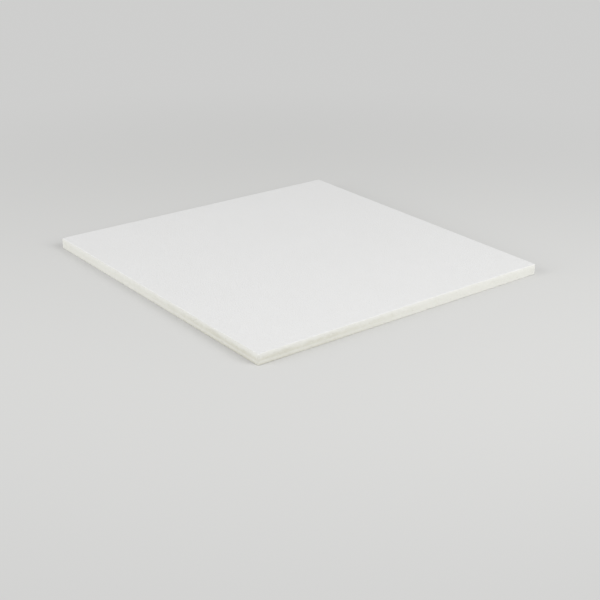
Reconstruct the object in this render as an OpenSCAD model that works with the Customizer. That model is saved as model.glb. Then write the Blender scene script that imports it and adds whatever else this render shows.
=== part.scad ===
// Square-edged lay-in ceiling tile for an exposed tee grid, felted from mineral fibre in one board.
// It lies on its back with the painted face up, the way it is stored and handled.
// In the ceiling it is turned over, and the margin of its face rests on the flanges of the tees.
// The origin is the centre of the back, and Z points out of the face.

/* [Grid opening] */
// Grid module along X, from the centre of one tee to the next
grid_x = 609.6; // [300:0.1:1220]
// Grid module along Y, from the centre of one tee to the next
grid_y = 609.6; // [300:0.1:1220]
// Clearance from each edge of the tile to the centre of its tee
edge_clearance = 3.175; // [1.5:0.025:8]

/* [Board] */
// Thickness of the board, from its back to its face
board_t = 19.05; // [12:0.05:40]

/* [Edges and corners] */
// Radius of the painted arris round the face
face_arris_r = 1.6; // [0.4:0.1:5]
// Width of the chamfer that breaks the sawn arris round the back
back_chamfer = 0.6; // [0.2:0.1:5]
// Corner radius of the flats, inside the wider of the two arrises
flat_corner_r = 1.2; // [0.2:0.1:20]

/* [Hidden] */
$fn = 96;

// Outside size of the board, which leaves the clearance at both of its edges
board_x = grid_x - 2 * edge_clearance;
board_y = grid_y - 2 * edge_clearance;

// The upright corners carry the corner of the flats out round the wider arris
corner_r = flat_corner_r + max(face_arris_r, back_chamfer);

// Straight runs of the edges, between the centres of the upright corners
run_x = board_x - 2 * corner_r;
run_y = board_y - 2 * corner_r;

// How far a cut in the edge section runs past the surface that it cuts
overcut = 1;

// What the edge section loses at the face: the square corner outside the arris
module face_arris_cut() {
    translate([corner_r - face_arris_r, board_t - face_arris_r])
        difference() {
            square(face_arris_r + overcut);
            circle(r = face_arris_r);
        }
}

// What the edge section loses at the back: all that lies outside the chamfer
module back_chamfer_cut() {
    polygon([
        [corner_r - back_chamfer - overcut, -overcut],
        [corner_r + overcut, -overcut],
        [corner_r + overcut, back_chamfer + overcut]
    ]);
}

// Section of the edge strip, from the centre line of an upright corner out to the sawn edge
module edge_section() {
    difference() {
        square([corner_r, board_t]);
        face_arris_cut();
        back_chamfer_cut();
    }
}

// One straight edge strip along Y, facing +X
module edge_strip(run) {
    rotate([90, 0, 0])
        linear_extrude(run, center = true)
            edge_section();
}

// One upright corner, which turns the edge section from +X to +Y
module corner_turn() {
    rotate_extrude(angle = 90)
        edge_section();
}

// The board: a flat core inside a rim of four edge strips joined by four corner turns
module tile() {
    color("whitesmoke")
        union() {
            translate([-run_x / 2, -run_y / 2, 0])
                cube([run_x, run_y, board_t]);
            for (side = [0:3]) {
                across = side % 2 == 0 ? run_x : run_y;
                along = side % 2 == 0 ? run_y : run_x;
                rotate([0, 0, 90 * side])
                    translate([across / 2, 0, 0]) {
                        edge_strip(along);
                        translate([0, along / 2, 0])
                            corner_turn();
                    }
            }
        }
}

tile();
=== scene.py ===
"""Suspended ceiling tile: one felted mineral-fibre board, lying on its back with its painted face up."""

import math

import bpy
from mathutils import Matrix, Vector, noise


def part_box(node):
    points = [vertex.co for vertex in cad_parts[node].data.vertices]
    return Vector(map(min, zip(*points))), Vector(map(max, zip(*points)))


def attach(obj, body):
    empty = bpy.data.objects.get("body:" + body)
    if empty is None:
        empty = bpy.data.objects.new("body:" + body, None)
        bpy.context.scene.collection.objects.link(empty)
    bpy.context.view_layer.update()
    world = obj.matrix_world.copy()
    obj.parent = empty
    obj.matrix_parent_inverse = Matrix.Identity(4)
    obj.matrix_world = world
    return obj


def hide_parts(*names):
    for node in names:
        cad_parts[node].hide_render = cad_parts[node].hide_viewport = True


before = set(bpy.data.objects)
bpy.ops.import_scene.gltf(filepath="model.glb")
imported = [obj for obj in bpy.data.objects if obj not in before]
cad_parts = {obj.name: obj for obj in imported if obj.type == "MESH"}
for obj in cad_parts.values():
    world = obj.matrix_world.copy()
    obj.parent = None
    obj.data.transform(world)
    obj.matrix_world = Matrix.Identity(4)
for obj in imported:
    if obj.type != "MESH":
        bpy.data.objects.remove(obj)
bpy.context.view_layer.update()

MM = 0.001

# The CAD board, which the detailed board fills: its box and its node
BOARD_NODE = "tile"
_, board_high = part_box(BOARD_NODE)
HALF_X = board_high.x
HALF_Y = board_high.y
THICK = board_high.z

# Edge sizes of the CAD board
FACE_ARRIS = 1.6 * MM
BACK_CHAMFER = 0.6 * MM
CORNER = 2.8 * MM
RUN_X = HALF_X - CORNER
RUN_Y = HALF_Y - CORNER

# How finely each part of the board is meshed
SIDE_STEPS = 560
CORNER_STEPS = 5
ARRIS_STEPS = 5
EDGE_STEPS = 18
FACE_CELLS = 140
BACK_CELLS = 80
FLAT_MARGIN = 3 * MM

# The board's finishes, in the order of its material slots
FACE_FINISH, EDGE_FINISH, BACK_FINISH = range(3)

# Where each part of the board lies in the square of its texture map: left, bottom, width and height
FACE_MAP = (0.01, 0.01, 0.71, 0.71)
BACK_MAP = (0.74, 0.01, 0.25, 0.71)
STRIP_PITCH = 0.064
STRIP_MAPS = [(0.01, 0.74 + STRIP_PITCH * side, 0.98, 0.056) for side in range(4)]

# Unevenness of the board, as a depth and the size of its swells
FACE_SWELLS = (0.10 * MM, 85 * MM)
FACE_RIPPLES = (0.07 * MM, 12 * MM)
EDGE_WANDER = (0.12 * MM, 170 * MM)
EDGE_GRAIN = (0.10 * MM, 2.6 * MM)
BACK_SWELLS = (0.14 * MM, 60 * MM)

# Beds of fibre that show along the sawn edges
BED_DEPTH = 0.16 * MM
BED_LENGTH = 36 * MM
BED_THICKNESS = 1.5 * MM

# Pits in the edges, where soft nodules have broken out of some cells of a random pattern
PIT_DEPTH = 0.6 * MM
PIT_RADIUS = 1.7 * MM
PIT_SPACING = 7 * MM
PIT_SHARE = 0.3

# Spreads the centres of the cells, so that each cell draws a lot of its own
PIT_SCATTER = 7.3

# Shallow dents in the back, and the noise at which a dent begins and is deepest
DENT_DEPTH = 0.16 * MM
DENT_SIZE = 19 * MM
DENT_NOISE = (0.2, 0.7)

# Slight knocks on the painted arris, and the noise at which a knock begins and is deepest
KNOCK_DEPTH = 0.42 * MM
KNOCK_SIZE = 17 * MM
KNOCK_NOISE = (0.28, 0.75)

# More knocks near the corners
CORNER_KNOCK_SIZE = 9 * MM
CORNER_KNOCK_REACH = 14 * MM
CORNER_KNOCK_SHARE = 0.9

# Sealer tint at the foot of the arris, partly thin paint and partly painted shade that dims the arris
# highlight: the most of it, and the size of its patches
ARRIS_WEAR_AND_SHADE = (1.6, 14 * MM)

# Sealer that shows besides where the arris is knocked
KNOCK_WEAR = 0.5


# Relief of the board: how far its surface lies inside the CAD surface

def swell(point, depth, size):
    """Smooth unevenness from 0 to a depth, with swells about one size across."""
    return depth * (0.5 + 0.5 * noise.noise(point / size))


def ramp(value, low, high):
    """How far a value has come from low to high, held between 0 and 1."""
    return min(max((value - low) / (high - low), 0.0), 1.0)


def face_relief(point):
    """The painted face: felt that dried a little uneven, under a thin coat."""
    return swell(point, *FACE_SWELLS) + swell(point, *FACE_RIPPLES)


def pit_relief(point):
    """Round pits, each in a cell of its own."""
    distances, centres = noise.voronoi(point / PIT_SPACING)
    if noise.cell(centres[0] * PIT_SCATTER) > PIT_SHARE:
        return 0.0
    off_centre = distances[0] * PIT_SPACING / PIT_RADIUS
    return PIT_DEPTH * max(1 - off_centre ** 2, 0.0)


def edge_relief(point):
    """The sawn edge: beds of fibre that lie flat in the board, torn grain and open pits."""
    laid = Vector((point.x / BED_LENGTH, point.y / BED_LENGTH, point.z / BED_THICKNESS))
    beds = swell(laid, BED_DEPTH, 1.0)
    return beds + swell(point, *EDGE_GRAIN) + swell(point, *EDGE_WANDER) + pit_relief(point)


def back_relief(point):
    """The back: bare felt with broad swells and shallow dents."""
    dents = DENT_DEPTH * ramp(noise.noise(point / DENT_SIZE), *DENT_NOISE)
    return swell(point, *BACK_SWELLS) + dents


def arris_bruise(point):
    """How bruised an arris is, from 0 to 1."""
    knocks = ramp(noise.noise(point / KNOCK_SIZE), *KNOCK_NOISE)
    off_corner = math.hypot(HALF_X - abs(point.x), HALF_Y - abs(point.y))
    near_corner = ramp(off_corner, CORNER_KNOCK_REACH, 0)
    return min(knocks + near_corner * swell(point, CORNER_KNOCK_SHARE, CORNER_KNOCK_SIZE), 1.0)


# The board's mesh: two flats joined by a rim that follows the edge section

def section_rows():
    """Rows of the edge section, from face to back: reach from the corner's centre, height and normal."""
    rows = []
    for step in range(ARRIS_STEPS + 1):
        turn = math.pi / 2 * step / ARRIS_STEPS
        out = math.sin(turn)
        up = math.cos(turn)
        reach = CORNER - FACE_ARRIS * (1 - out)
        rows.append((reach, THICK - FACE_ARRIS * (1 - up), out, up))
    edge_top = THICK - FACE_ARRIS
    for step in range(1, EDGE_STEPS + 1):
        height = edge_top + (BACK_CHAMFER - edge_top) * step / EDGE_STEPS
        rows.append((CORNER, height, 1.0, 0.0))
    rows.append((CORNER - BACK_CHAMFER, 0.0, 0.0, -1.0))
    return rows


def rim_columns():
    """Columns of the rim once round the board: centre, outward direction, side and place on the side."""
    columns = []
    corners = [(RUN_X, -RUN_Y), (RUN_X, RUN_Y), (-RUN_X, RUN_Y), (-RUN_X, -RUN_Y)]
    for side in range(4):
        start = Vector(corners[side])
        end = Vector(corners[(side + 1) % 4])
        facing = math.pi / 2 * side
        out = Vector((math.cos(facing), math.sin(facing)))
        for step in range(SIDE_STEPS):
            columns.append((start.lerp(end, step / SIDE_STEPS), out, side, step))
        for step in range(CORNER_STEPS):
            turned = facing + math.pi / 2 * step / CORNER_STEPS
            out = Vector((math.cos(turned), math.sin(turned)))
            columns.append((end, out, side, SIDE_STEPS + step))
    return columns


def rim_point(centre, out, row):
    """A point of the rim with its relief, and how much sealer tint its paint takes, from wear and from
    painted shade.
    """
    reach, height, normal_out, normal_up = row
    point = Vector((centre.x + out.x * reach, centre.y + out.y * reach, height))
    normal = Vector((out.x * normal_out, out.y * normal_out, normal_up))
    if normal_up < 0:
        return point - normal * back_relief(point), 0.0

    # A bruise is full at the middle of the arris and fades to both sides
    bruise = arris_bruise(point) * 2 * normal_out * normal_up
    depth = normal_out * edge_relief(point) + (1 - normal_out) * face_relief(point) + KNOCK_DEPTH * bruise
    # The tint round the arris is partly thin paint and partly painted shade that dims its highlight;
    # knocks add real wear
    wear_and_shade = swell(point, *ARRIS_WEAR_AND_SHADE) * normal_out + KNOCK_WEAR * bruise
    return point - normal * depth, min(wear_and_shade, 1.0)


class BoardMesh:
    """Gathers the board's points, and its faces with their texture places and finishes."""

    def __init__(self):
        self.points = []
        self.wears_and_shades = []
        self.faces = []
        self.maps = []
        self.finishes = []

    def add_point(self, point, wear_and_shade=0.0):
        self.points.append(point)
        self.wears_and_shades.append(wear_and_shade)
        return len(self.points) - 1

    def add_face(self, corners, places, finish):
        self.faces.append(corners)
        self.maps.extend(places)
        self.finishes.append(finish)

    def add_flat_face(self, corners, finish):
        """A face of the painted side, or of the back, which runs the other way."""
        if finish == BACK_FINISH:
            corners = corners[::-1]
        left, bottom, width, height = BACK_MAP if finish == BACK_FINISH else FACE_MAP
        places = []
        for corner in corners:
            point = self.points[corner]
            places.append((
                left + width * (0.5 + point.x / (2 * HALF_X)),
                bottom + height * (0.5 + point.y / (2 * HALF_Y)),
            ))
        self.add_face(corners, places, finish)


def add_rim(board):
    """Adds the arrises, edges and corners. Returns the rim's rows of points, from the face to the back."""
    rows = section_rows()
    columns = rim_columns()
    rim = []
    for row in rows:
        rim.append([board.add_point(*rim_point(centre, out, row)) for centre, out, _, _ in columns])
    strip_steps = SIDE_STEPS + CORNER_STEPS
    strip_levels = len(rows) - 1
    for level in range(strip_levels):
        finish = FACE_FINISH if level < ARRIS_STEPS else EDGE_FINISH
        above = rim[level]
        below = rim[level + 1]
        for index, (_, _, side, step) in enumerate(columns):
            beside = (index + 1) % len(columns)
            corners = (below[index], below[beside], above[beside], above[index])
            left, bottom, width, height = STRIP_MAPS[side]
            near = left + width * step / strip_steps
            far = left + width * (step + 1) / strip_steps
            lower = bottom + height * (1 - (level + 1) / strip_levels)
            upper = bottom + height * (1 - level / strip_levels)
            places = [(near, lower), (far, lower), (far, upper), (near, upper)]
            board.add_face(corners, places, finish)
    return rim, columns


def flat_point(x, y, finish):
    """A point of the face or of the back with its relief."""
    if finish == FACE_FINISH:
        point = Vector((x, y, THICK))
        return point - Vector((0, 0, face_relief(point)))
    point = Vector((x, y, 0.0))
    return point + Vector((0, 0, back_relief(point)))


def add_flat(board, rim_row, columns, cells, finish):
    """Closes the face or the back inside the rim, by a ring, a margin and a grid."""
    ring = []
    ring_places = []
    for centre, _, side, step in columns:
        if step < SIDE_STEPS:
            ring.append(board.add_point(flat_point(centre.x, centre.y, finish)))
        ring_places.append((side * SIDE_STEPS + min(step, SIDE_STEPS)) % (4 * SIDE_STEPS))
    for index, place in enumerate(ring_places):
        beside = (index + 1) % len(columns)
        corners = [rim_row[index], rim_row[beside], ring[ring_places[beside]]]
        if ring_places[beside] != place:
            corners.append(ring[place])
        board.add_flat_face(tuple(corners), finish)
    reach_x = RUN_X - FLAT_MARGIN
    reach_y = RUN_Y - FLAT_MARGIN
    grid = []
    for row in range(cells + 1):
        y = reach_y * (2 * row / cells - 1)
        xs = [reach_x * (2 * column / cells - 1) for column in range(cells + 1)]
        grid.append([board.add_point(flat_point(x, y, finish)) for x in xs])
    for row in range(cells):
        for column in range(cells):
            near = grid[row][column:column + 2]
            far = grid[row + 1][column:column + 2]
            board.add_flat_face((near[0], near[1], far[1], far[0]), finish)
    add_margin(board, ring, grid_border(grid), finish)


def grid_border(grid):
    """The grid's outermost points, once round in the order of the rim's columns."""
    border = [row[-1] for row in grid[:-1]]
    border += grid[-1][:0:-1]
    border += [row[0] for row in grid[:0:-1]]
    border += grid[0][:-1]
    return border


def add_margin(board, ring, border, finish):
    """Joins the ring to the grid's coarser border, by fans to its points and wedges between the fans."""
    fine = len(ring) // len(border)
    half = fine // 2
    for index, point in enumerate(border):
        for step in range(index * fine - (fine - half), index * fine + half):
            corners = (ring[step % len(ring)], ring[(step + 1) % len(ring)], point)
            board.add_flat_face(corners, finish)
        beside = border[(index + 1) % len(border)]
        board.add_flat_face((ring[index * fine + half], beside, point), finish)


def make_board(finishes):
    """The detailed board, as one closed mesh."""
    board = BoardMesh()
    rim, columns = add_rim(board)
    add_flat(board, rim[0], columns, FACE_CELLS, FACE_FINISH)
    add_flat(board, rim[-1], columns, BACK_CELLS, BACK_FINISH)
    mesh = bpy.data.meshes.new("felted_board")
    mesh.from_pydata(board.points, [], board.faces)
    mesh.polygons.foreach_set("material_index", board.finishes)
    mesh.polygons.foreach_set("use_smooth", [True] * len(board.faces))
    wear_and_shade = mesh.attributes.new("wear_and_shade", "FLOAT", "POINT")
    wear_and_shade.data.foreach_set("value", board.wears_and_shades)
    places = mesh.uv_layers.new(name="OFBake")
    places.data.foreach_set("uv", [number for place in board.maps for number in place])
    for finish in finishes:
        mesh.materials.append(finish)
    mesh.update()
    piece = bpy.data.objects.new("felted_board", mesh)
    bpy.context.scene.collection.objects.link(piece)
    return piece


# Wiring of materials

class Wiring:
    """Adds nodes to one node tree and feeds their inputs from numbers, colours or other nodes."""

    def __init__(self, tree):
        self.tree = tree

    def add(self, kind, inputs=None, **settings):
        node = self.tree.nodes.new(kind)
        for name, value in settings.items():
            setattr(node, name, value)
        for name, value in (inputs or {}).items():
            self.feed(node.inputs[name], value)
        return node

    def feed(self, socket, value):
        if isinstance(value, bpy.types.NodeSocket):
            self.tree.links.new(value, socket)
        else:
            socket.default_value = value

    def maths(self, operation, first, second=0.0):
        return self.add("ShaderNodeMath", {0: first, 1: second}, operation=operation).outputs[0]

    def mean(self, *values):
        """The mean of some values."""
        total = values[0]
        for value in values[1:]:
            total = self.maths("ADD", total, value)
        return self.maths("DIVIDE", total, len(values))

    def span(self, value, low, high, start=0.0, end=1.0):
        """Maps low to high onto start to end, held at both ends."""
        inputs = {"Value": value, "From Min": low, "From Max": high, "To Min": start, "To Max": end}
        return self.add("ShaderNodeMapRange", inputs, interpolation_type="SMOOTHSTEP").outputs["Result"]

    def blend(self, share, first, second):
        """A colour between two others."""
        node = self.add("ShaderNodeMix", data_type="RGBA")
        self.feed(node.inputs["Factor"], share)
        self.feed(node.inputs["A"], first)
        self.feed(node.inputs["B"], second)
        return node.outputs["Result"]

    def noise(self, position, scale, detail, roughness):
        inputs = {"Vector": position, "Scale": scale, "Detail": detail, "Roughness": roughness}
        return self.add("ShaderNodeTexNoise", inputs).outputs["Fac"]

    def group(self, tree, inputs):
        node = self.add("ShaderNodeGroup", node_tree=tree)
        for name, value in inputs.items():
            self.feed(node.inputs[name], value)
        return node.outputs


# A noise texture stays mostly between these two values
NOISE_LOW = 0.3
NOISE_HIGH = 0.7


def new_group(name, inputs, outputs):
    """An empty node group with named sockets. Returns its wiring, input sockets and output node."""
    tree = bpy.data.node_groups.new(name, "ShaderNodeTree")
    for socket, kind in inputs.items():
        tree.interface.new_socket(socket, in_out="INPUT", socket_type=kind)
    for socket in outputs:
        tree.interface.new_socket(socket, in_out="OUTPUT", socket_type="NodeSocketFloat")
    wiring = Wiring(tree)
    given = tree.nodes.new("NodeGroupInput").outputs
    return wiring, given, tree.nodes.new("NodeGroupOutput")


def felt_grain_group():
    """Fine sandy grain of felted mineral fibre, and the slow drift of tone that goes with it."""
    inputs = {"Position": "NodeSocketVector", "Grains per Metre": "NodeSocketFloat"}
    wiring, given, result = new_group("felt_grain", inputs, ["Height", "Drift"])
    fine = wiring.noise(given["Position"], given["Grains per Metre"], detail=4.0, roughness=0.62)
    drifts_per_grain = 0.02
    drifts = wiring.maths("MULTIPLY", given["Grains per Metre"], drifts_per_grain)
    drift = wiring.noise(given["Position"], drifts, detail=3.0, roughness=0.55)
    wiring.feed(result.inputs["Height"], fine)
    wiring.feed(result.inputs["Drift"], drift)
    return wiring.tree


def pinholes_group():
    """Scattered ragged holes of mixed sizes: 1 in a hole and 0 outside it."""
    inputs = {
        "Position": "NodeSocketVector",
        "Cells per Metre": "NodeSocketVector",
        "Width": "NodeSocketFloat",
        "Share": "NodeSocketFloat",
    }
    wiring, given, result = new_group("pinholes", inputs, ["Hole"])
    drawn = wiring.add("ShaderNodeVectorMath", {0: given["Position"], 1: given["Cells per Metre"]},
                       operation="MULTIPLY").outputs["Vector"]
    tears_per_cell = 4.0
    tear = wiring.add("ShaderNodeTexNoise", {"Vector": drawn, "Scale": tears_per_cell}).outputs["Color"]
    torn = wiring.add("ShaderNodeVectorMath", {0: tear, 1: drawn}, operation="ADD").outputs["Vector"]
    cells = wiring.add("ShaderNodeTexVoronoi", {"Vector": torn, "Scale": 1.0}).outputs

    # A cell's colour goes with the place of its hole, so each hole draws fresh lots from it
    drawn_lots = wiring.add("ShaderNodeTexWhiteNoise", {"Vector": cells["Color"]}).outputs["Color"]
    lots = wiring.add("ShaderNodeSeparateColor", {"Color": drawn_lots}).outputs
    picked = wiring.maths("LESS_THAN", lots["Red"], given["Share"])
    smallest = 0.4
    mixed_size = wiring.maths("ADD", wiring.maths("POWER", lots["Green"], 2.0), smallest)
    width = wiring.maths("MULTIPLY", given["Width"], mixed_size)
    inside = wiring.span(cells["Distance"], width, 0.0)
    wiring.feed(result.inputs["Hole"], wiring.maths("MULTIPLY", inside, picked))
    return wiring.tree


def fibre_lay_group():
    """Streaks of fibres that lie one way, from 0 to 1."""
    inputs = {"Position": "NodeSocketVector", "Streaks per Metre": "NodeSocketVector"}
    wiring, given, result = new_group("fibre_lay", inputs, ["Streak"])
    drawn = wiring.add("ShaderNodeVectorMath", {0: given["Position"], 1: given["Streaks per Metre"]},
                       operation="MULTIPLY").outputs["Vector"]
    wiring.feed(result.inputs["Streak"], wiring.noise(drawn, 1.0, detail=3.0, roughness=0.6))
    return wiring.tree


felt_grain = felt_grain_group()
pinholes = pinholes_group()
fibre_lay = fibre_lay_group()

# Colours of the paint, of the sealer under it, of the felt on the edges and the back, and of the pinholes,
# darker than the felt as painted shade
PAINT = (0.797, 0.797, 0.799, 1.0)
PAINT_SHADE = (0.791, 0.791, 0.792, 1.0)
THIN_PAINT = (0.797, 0.796, 0.757, 1.0)
SEALER = (0.776, 0.774, 0.732, 1.0)
FIBRE = (0.660, 0.650, 0.570, 1.0)
HOLE_FELT_AND_SHADE = (0.520, 0.500, 0.425, 1.0)
BACK_PALE = (0.720, 0.705, 0.655, 1.0)
BACK_DARK = (0.610, 0.590, 0.535, 1.0)

# How matte the board is all over
MATTE_SPECULAR = 0.25

# Grain height at which the hollows of the paint begin, and how much of the sealer shows in the deepest
HOLLOW_HEIGHT = 0.45
HOLLOW_SHOWS = 0.5

# How far a pinhole takes its colour: exposed felt, with painted shade in the pit
HOLE_DARKENING = 0.42

# Thin paint runs over the arris and down the edge: how far it covers, where it ends and how raggedly
PAINT_COVERS = 4 * MM
PAINT_ENDS = 12 * MM
PAINT_RAGGED = 4 * MM

# Patches that took more or less: how much farther the paint runs there, and what cover is gained
PATCH_RUN = 1.5 * MM
PATCH_GAIN = 0.045

# A paler band along the edges: its depth below the face, half width and strength
BAND_DEPTH = 14 * MM
BAND_HALF_WIDTH = 3.5 * MM
BAND_STRENGTH = 0.6

# Cover at which the sealer leaves the felt bare, and at which it closes over it
SEALER_BARE = 0.375
SEALER_CLOSED = 0.875

# The edges are darker, with less sealer cover, towards the front corner: how far from it, and what cover
# is gained beyond
FRONT_CORNER = (-HALF_X, -HALF_Y, 0.0)
FRONT_DARKENING_REACH = 450 * MM
COVER_GAIN = 0.31


def new_material(name):
    """A material with a matte shader. Returns it with its wiring, its shader and its own coordinates."""
    material = bpy.data.materials.new(name)
    material.use_nodes = True
    wiring = Wiring(material.node_tree)
    shader = material.node_tree.nodes["Principled BSDF"]
    shader.inputs["Specular IOR Level"].default_value = MATTE_SPECULAR
    position = wiring.add("ShaderNodeTexCoord").outputs["Object"]
    return material, wiring, shader, position


def finish_shader(wiring, shader, colour, height, grain, bump, rough_hollow, rough_crest):
    """Feeds a shader its colour, bumps of a true depth, and a roughness that follows the grain."""
    wiring.feed(shader.inputs["Base Color"], colour)
    roughness = wiring.span(grain, NOISE_LOW, NOISE_HIGH, rough_hollow, rough_crest)
    wiring.feed(shader.inputs["Roughness"], roughness)
    bumps = wiring.add("ShaderNodeBump", {"Strength": 1.0, "Distance": bump, "Height": height})
    wiring.feed(shader.inputs["Normal"], bumps.outputs["Normal"])


def painted_face():
    """Matte white paint over fine felt, thinner in the hollows of the grain, and tinted round the arris by
    wear and by painted shade.
    """
    material, wiring, shader, position = new_material("painted_face")
    grain = wiring.group(felt_grain, {"Position": position, "Grains per Metre": 450.0})
    wear_and_shade = wiring.add("ShaderNodeAttribute", attribute_name="wear_and_shade").outputs["Fac"]
    hollow = wiring.span(grain["Height"], HOLLOW_HEIGHT, NOISE_LOW, 0.0, HOLLOW_SHOWS)
    colour = wiring.blend(wiring.span(grain["Drift"], NOISE_LOW, NOISE_HIGH), PAINT, PAINT_SHADE)
    colour = wiring.blend(hollow, colour, SEALER)
    # Sealer tint round the arris: wear, and painted shade that dims the arris highlight
    colour = wiring.blend(wear_and_shade, colour, SEALER)
    finish_shader(wiring, shader, colour, grain["Height"], grain["Height"],
                  bump=0.8 * MM, rough_hollow=0.95, rough_crest=0.84)
    return material


def sealed_edge():
    """Sawn felt under a thin off-white sealer, with paint that has run over from the face."""
    material, wiring, shader, position = new_material("sealed_edge")
    grain = wiring.group(felt_grain, {"Position": position, "Grains per Metre": 900.0})["Height"]
    beds = wiring.group(fibre_lay, {
        "Position": position, "Streaks per Metre": (30.0, 30.0, 700.0),
    })["Streak"]
    fibres = wiring.group(fibre_lay, {
        "Position": position, "Streaks per Metre": (140.0, 140.0, 1100.0),
    })["Streak"]
    holes = wiring.group(pinholes, {
        "Position": position, "Cells per Metre": (190.0, 190.0, 420.0), "Width": 0.33, "Share": 0.35,
    })["Hole"]
    uneven = wiring.group(fibre_lay, {
        "Position": position, "Streaks per Metre": (45.0, 45.0, 70.0),
    })["Streak"]
    patches = wiring.span(uneven, NOISE_LOW, NOISE_HIGH, -1.0, 1.0)
    felt = wiring.maths("ADD", fibres, grain)
    cover = wiring.mean(fibres, grain, beds)

    # Sealer over the fibre, patchy, and with less cover towards the front corner, so the edges are darker
    # there
    off_corner = wiring.add("ShaderNodeVectorMath", {0: position, 1: FRONT_CORNER}, operation="DISTANCE")
    gain = wiring.span(off_corner.outputs["Value"], 0.0, FRONT_DARKENING_REACH, 0.0, COVER_GAIN)
    gain = wiring.maths("ADD", gain, wiring.maths("MULTIPLY", patches, PATCH_GAIN))
    sealed = wiring.span(wiring.maths("ADD", cover, gain), SEALER_BARE, SEALER_CLOSED)
    colour = wiring.blend(sealed, FIBRE, SEALER)

    # The band, the run of paint and the holes
    height_up = wiring.add("ShaderNodeSeparateXYZ", {"Vector": position}).outputs["Z"]
    depth = wiring.maths("SUBTRACT", THICK, height_up)
    off_band = wiring.maths("ABSOLUTE", wiring.maths("SUBTRACT", depth, BAND_DEPTH))
    colour = wiring.blend(wiring.span(off_band, BAND_HALF_WIDTH, 0.0, 0.0, BAND_STRENGTH), colour, SEALER)
    ragged = wiring.maths("ADD", depth, wiring.maths("MULTIPLY", beds, PAINT_RAGGED))
    ragged = wiring.maths("SUBTRACT", ragged, wiring.maths("MULTIPLY", patches, PATCH_RUN))
    colour = wiring.blend(wiring.span(ragged, PAINT_ENDS, PAINT_COVERS), colour, THIN_PAINT)
    # Pinholes take a colour darker than the felt: painted shade in the pits
    colour = wiring.blend(wiring.maths("MULTIPLY", holes, HOLE_DARKENING), colour, HOLE_FELT_AND_SHADE)
    height = wiring.maths("SUBTRACT", felt, holes)
    finish_shader(wiring, shader, colour, height, cover,
                  bump=0.3 * MM, rough_hollow=0.97, rough_crest=0.86)
    return material


def bare_back():
    """Unpainted felt: mottled, pitted, and with its fibres lying a little more one way than the other."""
    material, wiring, shader, position = new_material("bare_back")
    grain = wiring.group(felt_grain, {"Position": position, "Grains per Metre": 420.0})
    fibres = wiring.group(fibre_lay, {
        "Position": position, "Streaks per Metre": (210.0, 330.0, 330.0),
    })["Streak"]
    holes = wiring.group(pinholes, {
        "Position": position, "Cells per Metre": (150.0, 150.0, 150.0), "Width": 0.25, "Share": 0.5,
    })["Hole"]
    tone = wiring.mean(grain["Drift"], fibres)
    colour = wiring.blend(wiring.span(tone, NOISE_LOW, NOISE_HIGH), BACK_DARK, BACK_PALE)
    # Pinholes take a colour darker than the felt: painted shade in the pits
    colour = wiring.blend(wiring.maths("MULTIPLY", holes, HOLE_DARKENING), colour, HOLE_FELT_AND_SHADE)
    height = wiring.maths("SUBTRACT", wiring.maths("ADD", grain["Height"], fibres), holes)
    finish_shader(wiring, shader, colour, height, grain["Height"],
                  bump=0.4 * MM, rough_hollow=0.98, rough_crest=0.88)
    return material


# Stage: floor, light and camera

# Tones of the floor and of the even backdrop, and the level of the light from all round
FLOOR_TONE = 0.67
BACKDROP_TONE = 0.62
SKY_LIGHT = 0.635

# Share of blue in these greys, which makes them a shade warm
GREY_BLUE = 0.99

# How far the floor runs, and between which distances from the board it fades into the backdrop
FLOOR_REACH = 40.0
BACKDROP_START = 0.35
BACKDROP_FULL = 1.4

# The soft lamps: how far off and how wide they are
LAMP_DISTANCE = 2.8
LAMP_WIDTH = 1.6

# The camera: its place, the way it faces, and its focal length and picture width in pixels
CAMERA_PLACE = (-1.2294, -1.5618, THICK + 0.7624)
CAMERA_AZIMUTH = math.radians(-38.56)
CAMERA_ELEVATION = math.radians(23.35)
CAMERA_ROLL = math.radians(0.83)
FOCAL_PIXELS = 1191
PICTURE_PIXELS = 600

# Width in millimetres of the film that the camera is taken to have
FILM_WIDTH = 36.0


def grey(tone):
    """A grey that is a shade warm."""
    return (tone, tone, tone * GREY_BLUE, 1.0)


def seen_directly(wiring):
    """1 for what is seen, also in a gloss or through glass, and 0 for what only lights the board."""
    rays = wiring.add("ShaderNodeLightPath").outputs
    direct = wiring.maths("MAXIMUM", rays["Is Camera Ray"], rays["Is Glossy Ray"])
    return wiring.maths("MAXIMUM", direct, rays["Is Transmission Ray"])


def floor_finish():
    """Matte floor that takes the board's shadow, and fades into the backdrop's even tone farther off."""
    material = bpy.data.materials.new("studio_floor")
    material.use_nodes = True
    wiring = Wiring(material.node_tree)
    shader = material.node_tree.nodes["Principled BSDF"]
    shader.inputs["Base Color"].default_value = grey(FLOOR_TONE)
    shader.inputs["Roughness"].default_value = 1.0
    shader.inputs["Specular IOR Level"].default_value = 0.0
    position = wiring.add("ShaderNodeTexCoord").outputs["Object"]
    away = wiring.add("ShaderNodeVectorMath", {0: position}, operation="LENGTH").outputs["Value"]
    far_off = wiring.span(away, BACKDROP_START, BACKDROP_FULL)
    share = wiring.maths("MULTIPLY", far_off, seen_directly(wiring))
    even = wiring.add("ShaderNodeEmission", {"Color": grey(BACKDROP_TONE), "Strength": 1.0})
    mixed = wiring.add("ShaderNodeMixShader", {
        0: share, 1: shader.outputs["BSDF"], 2: even.outputs["Emission"],
    })
    wiring.feed(material.node_tree.nodes["Material Output"].inputs["Surface"], mixed.outputs["Shader"])
    return material


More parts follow.
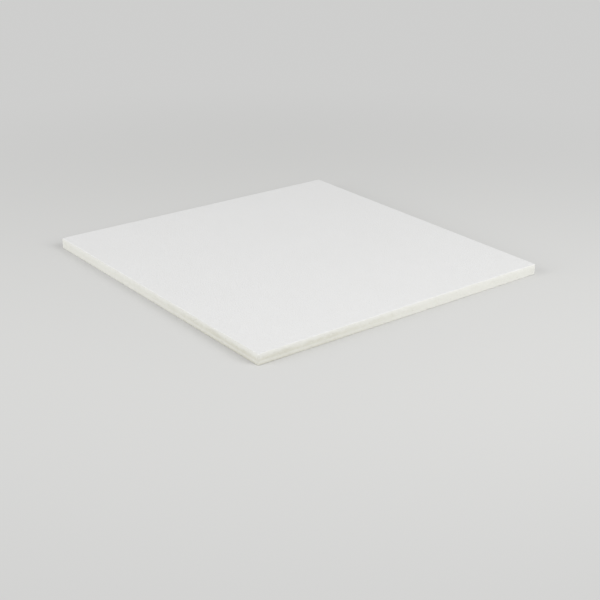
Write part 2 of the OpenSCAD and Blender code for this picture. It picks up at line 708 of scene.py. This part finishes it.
def make_floor():
    """A plain pale floor that runs out of sight."""
    mesh = bpy.data.meshes.new("studio_floor")
    corners = [(-FLOOR_REACH, -FLOOR_REACH, 0), (FLOOR_REACH, -FLOOR_REACH, 0),
               (FLOOR_REACH, FLOOR_REACH, 0), (-FLOOR_REACH, FLOOR_REACH, 0)]
    mesh.from_pydata(corners, [], [(0, 1, 2, 3)])
    mesh.materials.append(floor_finish())
    floor = bpy.data.objects.new("studio_floor", mesh)
    bpy.context.scene.collection.objects.link(floor)


def make_sky():
    """Even light from all round. Seen directly, it has the backdrop's tone, so no horizon shows."""
    world = bpy.data.worlds.new("studio_sky")
    bpy.context.scene.world = world
    world.use_nodes = True
    wiring = Wiring(world.node_tree)
    sky = world.node_tree.nodes["Background"]
    colour = wiring.blend(seen_directly(wiring), grey(SKY_LIGHT), grey(BACKDROP_TONE))
    wiring.feed(sky.inputs["Color"], colour)


def soft_lamp(name, azimuth, elevation, watts):
    """A square soft lamp that faces the board, at angles in degrees from +X and from the floor."""
    data = bpy.data.lights.new(name, "AREA")
    data.shape = "SQUARE"
    data.size = LAMP_WIDTH
    data.energy = watts
    swing = Matrix.Rotation(math.radians(azimuth), 3, "Z")
    lift = Matrix.Rotation(-math.radians(elevation), 3, "Y")
    lamp = bpy.data.objects.new(name, data)
    lamp.location = swing @ lift @ Vector((LAMP_DISTANCE, 0, 0))
    lamp.rotation_mode = "QUATERNION"
    lamp.rotation_quaternion = lamp.location.to_track_quat("Z", "Y")
    bpy.context.scene.collection.objects.link(lamp)


def make_camera():
    """The camera, from the corner between the board's two nearer edges."""
    data = bpy.data.cameras.new("camera")
    data.sensor_width = FILM_WIDTH
    data.lens = FILM_WIDTH * FOCAL_PIXELS / PICTURE_PIXELS
    camera = bpy.data.objects.new("camera", data)
    swing = Matrix.Rotation(CAMERA_AZIMUTH, 4, "Z")
    tilt = Matrix.Rotation(math.pi / 2 - CAMERA_ELEVATION, 4, "X")
    roll = Matrix.Rotation(CAMERA_ROLL, 4, "Z")
    camera.matrix_world = Matrix.Translation(CAMERA_PLACE) @ swing @ tilt @ roll
    bpy.context.scene.collection.objects.link(camera)
    bpy.context.scene.camera = camera


board = make_board([painted_face(), sealed_edge(), bare_back()])
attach(board, "root")
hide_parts(BOARD_NODE)

make_floor()
make_sky()
soft_lamp("right_lamp", azimuth=290, elevation=33, watts=35.0)
soft_lamp("left_lamp", azimuth=172, elevation=24, watts=27.5)
make_camera()
bpy.context.scene.view_settings.view_transform = "Standard"
